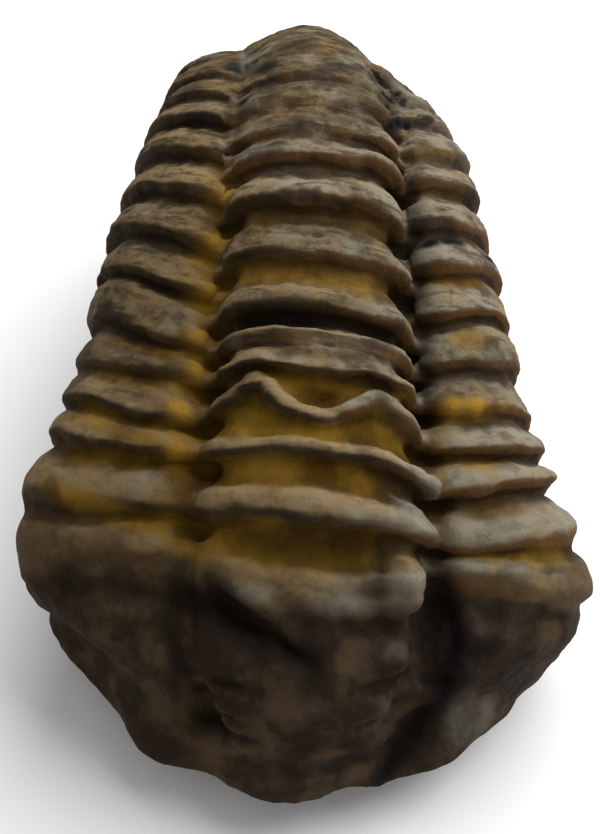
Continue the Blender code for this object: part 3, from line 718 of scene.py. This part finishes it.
def clay_share(back):
    """Where the yellow clay sits: in the hollows of the front rings and along the left furrow."""
    s = back.worn_s
    x = back.x
    half_axis = back.half_axis
    number = ring_number(s)
    low = 1.0 - smooth_step(back.segments, -0.2, 0.35)
    axis = 1.0 - smooth_step(np.abs(x) / half_axis, 0.8, 1.0)
    front = smooth_step(s, OCCIPITAL_RING + 0.5, OCCIPITAL_RING + 1.4) * (1.0 - smooth_step(number, 3.6, 4.2))
    for strength, at_number, reach in CLAY_BETWEEN_RINGS:
        front += strength * hill(number, at_number, reach)
    right_end = smooth_step(x, 3.0, 4.2) * (1.0 - smooth_step(number, 2.0, 2.4))
    body = smooth_step(s, FIRST_RING - 3.0, FIRST_RING)
    furrow = hill(x, -half_axis * 1.1, 1.2) * body * (1.0 - smooth_step(number, 7.5, 10.0))
    left = hill(x, -10.5, 4.2) * body * (1.0 - smooth_step(number, 2.4, 5.0))
    total = low * axis * front * (1.0 - 0.85 * right_end) + furrow * (0.5 + 0.5 * low) + low * left
    return np.clip(total, 0.0, 1.0)


def stain_and_shade_share(back):
    """Where the stone is nearly black: the head's dark lines, and painted shade in its breaks, in the pits
    beside the axis, in the right furrow and under the sixth ring.
    """
    s = back.worn_s
    x = back.x
    half_axis = back.half_axis
    number = ring_number(s)
    head = 1.0 - smooth_step(s, OCCIPITAL_RING - 0.5, OCCIPITAL_RING + 0.5)
    past_third = smooth_step(number, 2.5, 4.5)
    # Painted shade in the pits beside the axis
    pits = hill(number - np.floor(number), PIT_PHASE, 0.12) * hill(np.abs(x), half_axis, 0.5)
    pits *= smooth_step(s, FIRST_RING, FIRST_RING + 2.0)
    pits *= np.where(x > 0.0, 0.3 + 0.5 * past_third, 0.3)
    # Painted shade in the right furrow, and a painted shadow under the sixth ring
    right_furrow_shade = 0.7 * hill(x, half_axis + 0.6, 0.7) * past_third * (1.0 - smooth_step(number, 8.0, 10.0))
    shadow_under_sixth = 0.9 * hill(s, SIXTH_RING - 0.9, 0.5) * (1.0 - smooth_step(np.abs(x) / half_axis, 0.7, 0.95))
    total = 0.6 * smooth_step(-back.breaks, 0.2, 0.9) * head + pits + right_furrow_shade + shadow_under_sixth
    for strength, width, line in DARK_LINES:
        total = np.maximum(total, strength * hill(distance_to_line(line, s, x), 0.0, width))
    return np.clip(total, 0.0, 1.0)


def colour_masks(back):
    """Where each colour of the stone shows, and the places that its streaks follow."""
    s = back.s
    x = back.x
    ragged = RAGGED_SHARE * patches(back.points, RAGGED_SIZE, octaves=3, place=91.0)
    clay = np.maximum(clay_share(back), ragged_patches(CLAY_PATCHES, s, x, ragged))
    stain_and_shade = np.maximum(stain_and_shade_share(back), ragged_patches(STAINS_AND_SHADE, s, x, ragged))
    # Painted shadow in the chips of the rear
    painted_chip_shadow = 0.8 * smooth_step(back.chips, 0.5, 0.95) * back.rear
    wide_hollow = blurred(back.level, 7) - back.level
    narrow_hollow = blurred(back.level, 2) - back.level
    return {
        "height": np.clip((back.segments + 0.4) / 1.2, 0.0, 1.0),
        # How far each face turns towards the head, which sets its painted shade
        "front": turned_to_head(back),
        "head": back.head,
        "stone": np.zeros_like(s),
        "clay": np.maximum(clay, back.knobs),
        "knob": back.knobs,
        "stain_and_shade": np.maximum(stain_and_shade, painted_chip_shadow),
        # Painted shade on the darker places
        "painted_shade": np.clip(sum_of_hills(PAINTED_SHADE_PATCHES, s, x), 0.0, 1.0),
        # Slate-dark patches, partly painted shade below the left rear rings
        "slate_and_shade": ragged_patches(SLATE_AND_SHADE_PATCHES, s, x, ragged),
        "warm": ragged_patches(WARM_PATCHES, s, x, ragged),
        "pale": ragged_patches(PALE_PATCHES, s, x, ragged),
        # How deep each place lies in a hollow, which sets the painted shade in the recesses
        "cavity": wide_hollow * 0.7 + narrow_hollow * 2.0,
        "along": s,
        "beside": x,
    }


def fine_skirt(edge):
    """The rough stone under the animal's edge, as loops down to the flat base."""
    neighbours = range(-SKIRT_CALMING, SKIRT_CALMING + 1)
    calm = sum(np.roll(edge, k, axis=0) for k in neighbours) / len(neighbours)
    middle = (calm.max(axis=0) + calm.min(axis=0)) / 2.0
    inward = middle[:2] - calm[:, :2]
    inward /= np.linalg.norm(inward, axis=1, keepdims=True)
    base = middle[:2] - (middle[:2] - calm[:, :2]) * BASE_SHARE
    loops = []
    for v in np.linspace(0.0, 1.0, SKIRT_LOOPS + 1)[1:]:
        start = edge + (calm - edge) * min(1.0, 2.0 * v)
        bulge = SKIRT_BULGE * np.sin(np.pi * v) - UNDERCUT * (1.0 - v) * smooth_step(v, 0.0, 0.15)
        xy = start[:, :2] * (1.0 - v) + base * v - inward * bulge
        z = start[:, 2] * (1.0 - v) - STONE_BELOW_HEAD * v
        loop = np.column_stack([xy, z])
        rough = STONE_HEIGHT * patches(loop, STONE_SIZE, octaves=5, place=71.0)
        rough += STONE_GRAIN_HEIGHT * patches(loop, STONE_GRAIN_SIZE, octaves=4, place=83.0)
        rough *= smooth_step(v, 0.0, 0.2) * (1.0 - smooth_step(v, 0.7, 1.0))
        loop[:, :2] -= inward * rough[:, None]
        loops.append(loop)
    return loops


def grid_faces(index):
    """Quads between neighbouring rows and columns of a grid of vertex numbers."""
    corners = (index[:-1, :-1], index[:-1, 1:], index[1:, 1:], index[1:, :-1])
    return np.stack([c.ravel() for c in corners], axis=1).tolist()


def closed_surface(back):
    """Vertices and faces of the whole fossil: the back, the stone below its rim and the flat base."""
    rows, columns = back.shape[:2]
    back = back.reshape(-1, 3)
    index = np.arange(len(back)).reshape(rows, columns)
    faces = grid_faces(index)
    rim = np.concatenate([index[0, :], index[1:, -1], index[-1, -2::-1], index[-2:0:-1, 0]])
    loops = fine_skirt(back[rim])
    below = len(back) + np.arange(len(loops) * len(rim)).reshape(len(loops), len(rim))
    skirt = np.vstack([rim, below])
    faces += grid_faces(np.hstack([skirt, skirt[:, :1]])[:, ::-1])
    base_middle = np.append(loops[-1][:, :2].mean(axis=0), -STONE_BELOW_HEAD)
    last = len(back) + below.size
    faces += [(after, before, last) for before, after in zip(below[-1], np.roll(below[-1], -1))]
    return np.vstack([back, *loops, base_middle]), faces


def fossil_piece():
    """The fine fossil as a closed mesh with colour masks, and the shift from head to frame coordinates."""
    back = back_form()
    add_wear(back)
    vertices, faces = closed_surface(back.worn)
    low = vertices.min(axis=0)
    high = vertices.max(axis=0)
    shift = np.array([(low[0] + high[0]) / 2.0, (low[1] + high[1]) / 2.0, low[2]])
    mesh = bpy.data.meshes.new("fossil")
    mesh.from_pydata(((vertices - shift) * METRES).tolist(), [], faces)
    mesh.shade_smooth()
    for name, values in colour_masks(back).items():
        below = np.full(len(vertices) - values.size, MASKS_BELOW_RIM.get(name, 0.0))
        attribute = mesh.attributes.new(name, "FLOAT", "POINT")
        attribute.data.foreach_set("value", np.concatenate([values.ravel(), below]).astype(np.float32))
    piece = bpy.data.objects.new("fossil", mesh)
    bpy.context.scene.collection.objects.link(piece)
    return piece, shift


class Nodes:
    """Short calls for building a material's node tree."""

    def __init__(self, material):
        self.tree = material.node_tree

    def add(self, kind, **settings):
        node = self.tree.nodes.new(kind)
        for name, value in settings.items():
            setattr(node, name, value)
        return node

    def link(self, source, target):
        self.tree.links.new(source, target)

    def attribute(self, name):
        return self.add("ShaderNodeAttribute", attribute_name=name).outputs["Fac"]

    def noise(self, vector, scale, detail, roughness):
        node = self.add("ShaderNodeTexNoise")
        self.link(vector, node.inputs["Vector"])
        node.inputs["Scale"].default_value = scale
        node.inputs["Detail"].default_value = detail
        node.inputs["Roughness"].default_value = roughness
        return node.outputs["Fac"]

    def ramp(self, value, low, high, to_low=0.0, to_high=1.0):
        """A smooth change from to_low to to_high as the value goes from low to high."""
        node = self.add("ShaderNodeMapRange", interpolation_type="SMOOTHSTEP")
        self.link(value, node.inputs["Value"])
        node.inputs["From Min"].default_value = low
        node.inputs["From Max"].default_value = high
        node.inputs["To Min"].default_value = to_low
        node.inputs["To Max"].default_value = to_high
        return node.outputs["Result"]

    def math(self, operation, first, second):
        node = self.add("ShaderNodeMath", operation=operation)
        for socket, value in zip(node.inputs, (first, second)):
            if isinstance(value, (int, float)):
                socket.default_value = value
            else:
                self.link(value, socket)
        return node.outputs["Value"]

    def plus(self, first, second):
        return self.math("ADD", first, second)

    def times(self, first, second):
        return self.math("MULTIPLY", first, second)

    def mix(self, share, first, second):
        """The first colour, with the given share of the second in it."""
        node = self.add("ShaderNodeMix", data_type="RGBA")
        self.link(share, node.inputs["Factor"])
        for name, value in (("A", first), ("B", second)):
            socket = [i for i in node.inputs if i.name == name and i.type == "RGBA"][0]
            if isinstance(value, tuple):
                socket.default_value = (*value, 1.0)
            else:
                self.link(value, socket)
        return [o for o in node.outputs if o.type == "RGBA"][0]


def stone_tones(n):
    """What the colours are made from: noises by their patches a metre, streaks, and soft changes of place."""
    place = n.add("ShaderNodeTexCoord").outputs["Object"]
    along = n.attribute("along")
    beside = n.attribute("beside")
    streak_place = n.add("ShaderNodeCombineXYZ")
    n.link(n.times(beside, 0.55), streak_place.inputs["X"])
    n.link(n.times(along, 1.8), streak_place.inputs["Y"])
    return SimpleNamespace(
        broad=n.noise(place, 140.0, 3.0, 0.6),
        soft=n.noise(place, 230.0, 1.0, 0.4),
        medium=n.noise(place, 360.0, 4.0, 0.6),
        patchy=n.noise(place, 480.0, 4.0, 0.6),
        mottle=n.noise(place, 620.0, 6.0, 0.65),
        fine=n.noise(place, 2600.0, 5.0, 0.7),
        streak=n.noise(streak_place.outputs["Vector"], 1.0, 5.0, 0.65),
        rear=n.ramp(along, CALM_END, ROUGH_START),
        clear=n.ramp(along, CALM_END, ROUGH_START, 0.5, 1.0),
        side=n.times(beside, 0.012),
        # Share of painted shade in the recesses
        recess_shade=n.ramp(n.attribute("cavity"), -0.05, 0.45),
    )


def ridge_colour(n, t):
    """Crests and ribs, streaked along the rings, with darker and browner faces towards the head, which are
    painted shade, and painted shade in the recesses.
    """
    uneven = n.times(n.times(n.math("SUBTRACT", t.mottle, 0.5), 0.8), t.clear)
    height = n.plus(n.attribute("height"), uneven)
    # Painted shade: faces turned towards the head take the darker rib colour
    height = n.math("SUBTRACT", height, n.times(n.attribute("front"), 0.5))
    rib = n.mix(n.ramp(n.plus(t.streak, t.side), 0.42, 0.6), RIB_BROWN, RIB_GREY)
    crest = n.mix(n.ramp(n.plus(t.broad, t.side), 0.42, 0.6), RIDGE_TAN, RIDGE_GREY)
    colour = n.mix(n.ramp(height, 0.3, 0.95), rib, crest)
    colour = n.mix(n.times(n.ramp(t.medium, 0.50, 0.64), 0.6), colour, PATCH_TAN)
    colour = n.mix(n.ramp(t.medium, 0.34, 0.48, 0.5, 0.0), colour, RIB_BROWN)
    colour = n.mix(n.times(n.ramp(t.mottle, 0.36, 0.50, 0.5, 0.0), t.clear), colour, STREAK_AND_SHADE_BROWN)
    pale_patch = n.times(n.ramp(t.patchy, 0.52, 0.68), n.times(t.rear, 0.45))
    colour = n.mix(pale_patch, colour, PATCH_PALE)
    dark_streak = n.times(n.ramp(t.streak, 0.36, 0.50, 0.65, 0.0), n.ramp(t.rear, 0.0, 1.0, 0.15, 1.0))
    colour = n.mix(dark_streak, colour, STREAK_AND_SHADE_BROWN)
    # Painted shade on faces turned towards the head: dark brown on the left, rusty on the right
    facing = n.times(n.ramp(n.attribute("front"), 0.08, 0.55), n.ramp(t.mottle, 0.3, 0.6, 0.6, 1.0))
    under = n.mix(n.ramp(n.plus(t.broad, t.side), 0.43, 0.58), STREAK_AND_SHADE_BROWN, RUST_AND_SHADE)
    colour = n.mix(n.times(facing, 0.85), colour, under)
    slate_patch = n.times(n.ramp(t.medium, 0.34, 0.44, 0.7, 0.0), t.rear)
    colour = n.mix(slate_patch, colour, SLATE)
    # Slate-dark spots, partly painted shade below the left rear rings
    slate_and_shade_spot = n.times(n.attribute("slate_and_shade"), n.ramp(t.mottle, 0.3, 0.5, 0.7, 1.0))
    colour = n.mix(slate_and_shade_spot, colour, SLATE_DARK_AND_SHADE)
    # Painted shade in the recesses
    return n.mix(n.times(t.recess_shade, 0.6), colour, PAINTED_SHADE_BROWN)


def with_clay(n, t, colour):
    """Yellow clay in the hollows, brightest on its knobs."""
    tone = n.plus(n.times(t.soft, 0.5), n.times(t.medium, 0.5))
    clay = n.mix(n.ramp(tone, 0.41, 0.60), OCHRE_DEEP, OCHRE)
    clay = n.mix(n.attribute("knob"), clay, CLAY_ORANGE)
    share = n.times(n.attribute("clay"), n.ramp(t.mottle, 0.25, 0.5, 0.75, 1.0))
    return n.mix(share, colour, clay)


def with_head_and_base(n, t, colour):
    """The dark head, warmer on the left and greyer on the right, and the rough stone below the rim."""
    head_tint = n.mix(n.ramp(n.plus(t.patchy, t.side), 0.47, 0.60), HEAD_TAN, HEAD_MAUVE)
    head_share = n.plus(n.times(t.medium, 0.55), n.times(t.mottle, 0.45))
    head = n.mix(n.ramp(head_share, 0.42, 0.64), HEAD_BROWN, head_tint)
    colour = n.mix(n.times(n.attribute("head"), 0.92), colour, head)
    base = n.mix(n.ramp(t.medium, 0.38, 0.62), HEAD_BROWN, STONE_BROWN)
    base = n.mix(n.times(n.ramp(t.patchy, 0.50, 0.66), 0.6), base, STONE_TAN)
    return n.mix(n.attribute("stone"), colour, base)


def with_marks(n, t, colour):
    """Rusty and pale crusts, black stains with painted shade in the head's breaks, pits and furrows, painted
    shade on darker places, freckles, and more painted shade in the recesses.
    """
    warm = n.times(n.attribute("warm"), n.ramp(t.mottle, 0.35, 0.55, 0.5, 1.0))
    colour = n.mix(warm, colour, WARM_BROWN)
    pale = n.times(n.attribute("pale"), n.ramp(t.mottle, 0.35, 0.6, 0.5, 1.0))
    colour = n.mix(pale, colour, PALE_CRUST)
    # Black stains, with painted shade in pits, furrows, breaks and chips
    stain_and_shade = n.times(n.attribute("stain_and_shade"), n.ramp(t.mottle, 0.3, 0.55, 0.75, 1.0))
    colour = n.mix(stain_and_shade, colour, BLACK_STAIN_AND_SHADE)
    # Painted shade on the darker places
    colour = n.mix(n.attribute("painted_shade"), colour, PAINTED_SHADE_BROWN)
    freckles = n.times(n.ramp(t.fine, 0.30, 0.42, 0.5, 0.0), t.clear)
    colour = n.mix(freckles, colour, STREAK_AND_SHADE_BROWN)
    # More painted shade in the recesses
    return n.mix(n.times(t.recess_shade, 0.25), colour, PAINTED_SHADE_BROWN)


def add_finish(n, t, shader):
    """A dull, uneven surface with a fine grain, calmer towards the head."""
    n.link(n.ramp(t.mottle, 0.3, 0.7, 0.62, 0.88), shader.inputs["Roughness"])
    shader.inputs["Specular IOR Level"].default_value = STONE_SPECULAR
    bump = n.add("ShaderNodeBump")
    bump.inputs["Strength"].default_value = GRAIN_BUMP_STRENGTH
    bump.inputs["Distance"].default_value = GRAIN_BUMP_DEPTH * METRES
    grain = n.plus(t.fine, n.times(t.mottle, 0.8))
    grain = n.plus(grain, n.times(t.streak, 0.7))
    n.link(n.times(grain, t.clear), bump.inputs["Height"])
    n.link(bump.outputs["Normal"], shader.inputs["Normal"])


def stone_material():
    """Weathered stone: pale crests, streaked brown ribs, yellow clay, a dark head, black stains, and painted
    shade in the recesses, on darker places and on faces towards the head.
    """
    material = bpy.data.materials.new("fossil_stone")
    material.use_nodes = True
    n = Nodes(material)
    t = stone_tones(n)
    colour = ridge_colour(n, t)
    colour = with_clay(n, t, colour)
    colour = with_head_and_base(n, t, colour)
    colour = with_marks(n, t, colour)
    shader = material.node_tree.nodes["Principled BSDF"]
    n.link(colour, shader.inputs["Base Color"])
    add_finish(n, t, shader)
    return material


def add_floor():
    """A plain pale floor."""
    mesh = bpy.data.meshes.new("floor")
    reach = FLOOR_REACH
    corners = [(-reach, -reach, 0.0), (reach, -reach, 0.0), (reach, reach, 0.0), (-reach, reach, 0.0)]
    mesh.from_pydata(corners, [], [(0, 1, 2, 3)])
    material = bpy.data.materials.new("pale_floor")
    material.use_nodes = True
    shader = material.node_tree.nodes["Principled BSDF"]
    shader.inputs["Base Color"].default_value = (*FLOOR_COLOUR, 1.0)
    shader.inputs["Roughness"].default_value = FLOOR_ROUGHNESS
    mesh.materials.append(material)
    floor = bpy.data.objects.new("floor", mesh)
    bpy.context.scene.collection.objects.link(floor)


def add_light():
    """A large soft light behind and above the fossil, on its right, and an even fill from all round."""
    world = bpy.data.worlds.new("studio")
    world.use_nodes = True
    background = world.node_tree.nodes["Background"]
    background.inputs["Color"].default_value = (1.0, 1.0, 1.0, 1.0)
    background.inputs["Strength"].default_value = FILL_STRENGTH
    bpy.context.scene.world = world

    data = bpy.data.lights.new("key", "AREA")
    data.energy = KEY_ENERGY
    data.size = KEY_SIZE
    light = bpy.data.objects.new("key", data)
    light.location = KEY_PLACE
    light.rotation_euler = (-Vector(KEY_PLACE)).to_track_quat("-Z", "Y").to_euler()
    bpy.context.scene.collection.objects.link(light)


def add_camera(shift):
    """The photograph's view: close above the head, looking along the back towards the tail."""
    elevation = math.radians(CAMERA_ELEVATION)
    look = Vector((0.0, math.cos(elevation), -math.sin(elevation)))
    aim = Vector(np.array(CAMERA_AIM) - shift)
    data = bpy.data.cameras.new("camera")
    data.sensor_fit = "VERTICAL"
    data.sensor_height = SENSOR_HEIGHT
    data.lens = SENSOR_HEIGHT * FOCAL_PIXELS / FRAME_HEIGHT_PIXELS
    data.clip_start = CLIP_START
    camera = bpy.data.objects.new("camera", data)
    camera.location = (aim - look * CAMERA_DISTANCE) * METRES
    camera.rotation_euler = look.to_track_quat("-Z", "Y").to_euler()
    bpy.context.scene.collection.objects.link(camera)
    bpy.context.scene.camera = camera


piece, shift = fossil_piece()
piece.data.materials.append(stone_material())
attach(piece, "root")
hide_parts(NODE)
add_floor()
add_light()
add_camera(shift)
bpy.context.scene.view_settings.view_transform = "Standard"
